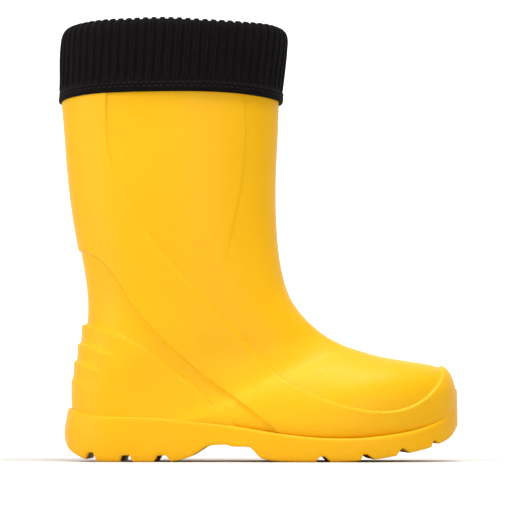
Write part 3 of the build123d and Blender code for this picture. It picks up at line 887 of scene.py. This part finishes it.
def seam_side(uvs):
    """Distance from the liner's upright seam, in front and behind."""
    points = felt_out(uvs)
    tip = uvs.copy()
    tip[:, 1] = np.where(np.abs(uvs[:, 1]) < pi / 2, 0, pi)
    return np.sign(np.sin(uvs[:, 1])) * np.hypot(*(points - felt_out(tip))[:, :2].T)


for level in SEAM_LEVELS:
    uvs, faces = cut(uvs, faces, seam_side(uvs) - level)
base_out, base_in = felt_out(uvs), felt_in(uvs)
outward = outward_normals(base_out, faces)
above = base_out[:, 2] - LINER_SEAM_Z
dent = SEAM_DENT * np.exp(-(seam_side(uvs) / SEAM_HALF) ** 2) * smooth((above + 1.5) / 1.5)
dent = np.maximum(dent, SEAM_DENT * np.exp(-(above / SEAM_HALF) ** 2))
x, y, z = base_out.T
ripple = 0.10 * np.sin(x / 9 + z / 13) * np.sin(y / 7 - z / 17) + 0.08 * np.sin(z / 6 + y / 11) - 0.2
base_out = base_out + outward * (ripple - dent)[:, None]
base_in = base_in + outward * (0.35 * ripple)[:, None]
middle = uvs[faces].mean(1)
face_z = felt_out(middle)[:, 2]
PANELS = [("felt_sole_tray", "liner_sole_tray", face_z < LINER_SEAM_Z),
          ("felt_lateral_panel", "liner_lateral_panel", (face_z >= LINER_SEAM_Z) & (middle[:, 1] < 0)),
          ("felt_medial_panel", "liner_medial_panel", (face_z >= LINER_SEAM_Z) & (middle[:, 1] >= 0))]
for name, node, chosen in PANELS:
    used, own = used_only(faces[chosen])
    piece(name, *shell(base_out[used], base_in[used], own), felt, "liner", "felt", [node])


TAPE_HALF = TAPE_WIDTH / 2
TAPE_SUNK = 0.15             # how deep the tape lies in the felt
TAPE_THIN = 0.55             # share of the tape's thickness that its edge loses


def tape_strip(name, node, at_front):
    """A tape over the liner's front or back seam, on the inside."""
    ways = np.linspace(join_u + 0.8, KNOTS[-1], 150)
    across = np.linspace(-1, 1, 9)
    table = [(wide, front if at_front else back) for _, _, wide, _, _, front, back, _ in SLICES]
    wide, blunt = spline(KNOTS, table)(ways).T
    share = np.clip(TAPE_HALF * np.abs(across) / (wide[:, None] - felt_inset - FELT), 0, 0.95)
    angle = np.arcsin(share ** (blunt[:, None] / 2)) * np.sign(across)
    angle = angle if at_front else pi - angle
    uvs = np.stack([np.repeat(ways, len(across)), angle.ravel(), np.ones(angle.size)], 1)
    low, high = (boot_form(felt_inset + FELT + inward, felt_sole + FELT + inward)(uvs)
                 for inward in (-TAPE_SUNK, TAPE))
    thin = np.where(np.abs(across) > 0.99, TAPE_THIN, np.where(np.abs(across) > 0.7, 0.08, 0))
    high = high + (low - high) * np.tile(thin, len(ways))[:, None]
    keep = triangles(grid(len(ways), len(across)))
    keep = keep[(low[keep][:, :, 2] > LINER_SEAM_Z + TAPE_HALF - 1).all(1)]
    used, keep = used_only(keep)
    maps = np.stack([np.tile(across * TAPE_HALF, len(ways)), np.repeat(ways, len(across))], 1)[used]
    return piece(name, *shell(low[used], high[used], keep), seam_tape, "liner", "seam_tape", [node],
                 uvs=np.concatenate([maps, maps]))


front_tape = tape_strip("front_tape", "liner_front_seam", True)
back_tape = tape_strip("back_tape", "liner_back_seam", False)

uvs, faces = form_rows(np.array([join_u]), 4.0, LINER_COLUMNS)
for level in (-TAPE_HALF, -TAPE_HALF + 0.7, TAPE_HALF - 0.7, TAPE_HALF):
    uvs, faces = cut(uvs, faces, felt_in(uvs)[:, 2] - LINER_SEAM_Z - level)
face_z = felt_in(uvs[faces].mean(1))[:, 2]
used, faces = used_only(faces[np.abs(face_z - LINER_SEAM_Z) < TAPE_HALF])
uvs = uvs[used]
tape_low = boot_form(felt_inset + FELT - TAPE_SUNK, felt_sole + FELT - TAPE_SUNK)(uvs)
tape_high = boot_form(felt_inset + FELT + TAPE, felt_sole + FELT + TAPE)(uvs)
edge = TAPE_THIN * (np.abs(felt_in(uvs)[:, 2] - LINER_SEAM_Z) > TAPE_HALF - 0.1)
tape_high = tape_high + (tape_low - tape_high) * edge[:, None]
maps = np.stack([tape_low[:, 2], np.arctan2(tape_low[:, 1], tape_low[:, 0]) * 80], 1)
sole_tape = piece("sole_tape", *shell(tape_low, tape_high, faces), seam_tape, "liner", "seam_tape",
                  ["liner_sole_seam"], uvs=np.concatenate([maps, maps]))


def cross_stitches(centres, ahead, outward, name):
    """Slanting stitches over a butted seam, two ways, on the liner's outside."""
    ahead, outward = unit(ahead), unit(outward)
    side = np.cross(outward, ahead)
    parts = []
    for turn in (0.9, -0.9):
        way = ahead * cos(turn) + side * sin(turn)
        parts.append(capsules(centres, way, outward, 4.6, 0.6, 0.5))
    return piece(name, *joined(*parts), grey_thread, "liner", "thread")


def seam_path(angle):
    """Evenly spaced places down the liner's front or back seam, with directions."""
    ways = np.linspace(join_u + 3, KNOTS[-1], 900)
    uvs = np.stack([ways, np.full(len(ways), angle), np.ones(len(ways))], 1)
    points = felt_out(uvs)
    points = points[points[:, 2] > LINER_SEAM_Z + 2]
    steps = np.concatenate([[0], np.cumsum(np.linalg.norm(np.diff(points, axis=0), axis=1))])
    spots = np.arange(2, steps[-1], 4.2)
    at = np.stack([np.interp(spots, steps, points[:, k]) for k in range(3)], 1)
    ahead = np.gradient(at, axis=0)
    outward = np.stack([-ahead[:, 2], 0 * ahead[:, 0], ahead[:, 0]], 1) * (1 if angle == 0 else -1)
    return at, ahead, outward


STITCH_SUNK = 0.35
for angle, name in ((0.0, "front_seam_stitches"), (pi, "back_seam_stitches")):
    at, ahead, outward = seam_path(angle)
    sunk = at - unit(outward) * STITCH_SUNK
    cross_stitches(sunk, ahead, outward, name)

# ---- floor, lights, camera, in metres -----------------------------------------------------------------
scene = bpy.context.scene
scene.view_settings.view_transform = "Standard"
scene.view_settings.look = "None"
world = bpy.data.worlds.new("studio")
world.use_nodes = True
world.node_tree.nodes["Background"].inputs["Color"].default_value = (1, 1, 1, 1)
world.node_tree.nodes["Background"].inputs["Strength"].default_value = 0.38
scene.world = world

paper = Nodes("backdrop")
far = paper.add("ShaderNodeSeparateXYZ", {"Vector": paper.place}).outputs[1]
paper.tree.links.new(paper.range(far, 0.1, 0.9, 0.0, 0.75), paper.shader.inputs["Emission Strength"])
backdrop = paper.finish(Base_Color=(0.68, 0.68, 0.68, 1), Roughness=0.9, Specular_IOR_Level=0.1,
                        Emission_Color=(1, 1, 1, 1))
# the floor turns up behind the boot in a quarter circle
FLOOR_NEAR, FLOOR_FAR, TURN, WALL_TOP, FLOOR_HALF = -3.0, 1.6, 0.8, 4.0, 4.0
profile = [(FLOOR_NEAR, 0.0), (FLOOR_FAR, 0.0)]
profile += [(FLOOR_FAR + TURN * sin(a), TURN - TURN * cos(a)) for a in np.linspace(0.15, pi / 2, 9)]
profile += [(FLOOR_FAR + TURN, WALL_TOP)]
points = [(x, y, z) for y, z in profile for x in (-FLOOR_HALF, FLOOR_HALF)]
mesh = bpy.data.meshes.new("floor")
mesh.from_pydata(points, [], [(2 * k, 2 * k + 1, 2 * k + 3, 2 * k + 2) for k in range(len(profile) - 1)])
mesh.shade_smooth()
mesh.materials.append(backdrop)
floor = bpy.data.objects.new("floor", mesh)
scene.collection.objects.link(floor)
floor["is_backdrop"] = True


def softbox(name, place, aim, size, power):
    """A round area light at a place, facing a point."""
    light = bpy.data.lights.new(name, "AREA")
    light.shape = "DISK"
    light.size = size
    light.energy = power
    made = bpy.data.objects.new(name, light)
    scene.collection.objects.link(made)
    made.location = place
    made.rotation_mode = "QUATERNION"
    made.rotation_quaternion = (Vector(aim) - Vector(place)).to_track_quat("-Z", "Y")


softbox("key", (-1.3, -1.2, 1.7), (0, 0, 0.15), 0.8, 18)
softbox("top", (0.15, -0.35, 1.7), (0, 0, 0.1), 0.8, 25)
softbox("side", (-1.7, -0.6, 0.35), (0, 0, 0.15), 0.8, 9)
softbox("front", (0.5, -1.7, 0.35), (0, 0, 0.1), 0.8, 8)

LENS = 114.2
EYE = Vector((-0.0004, -1.1502, 0.020))
TARGET = Vector((-0.0004, -0.0002, 0.145))
camera = bpy.data.objects.new("camera", bpy.data.cameras.new("camera"))
scene.collection.objects.link(camera)
camera.data.sensor_width = 36
camera.data.lens = LENS
camera.location = EYE
camera.rotation_mode = "QUATERNION"
camera.rotation_quaternion = (TARGET - EYE).to_track_quat("-Z", "Y")
camera.data.clip_start = 0.05
scene.camera = camera

low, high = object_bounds()
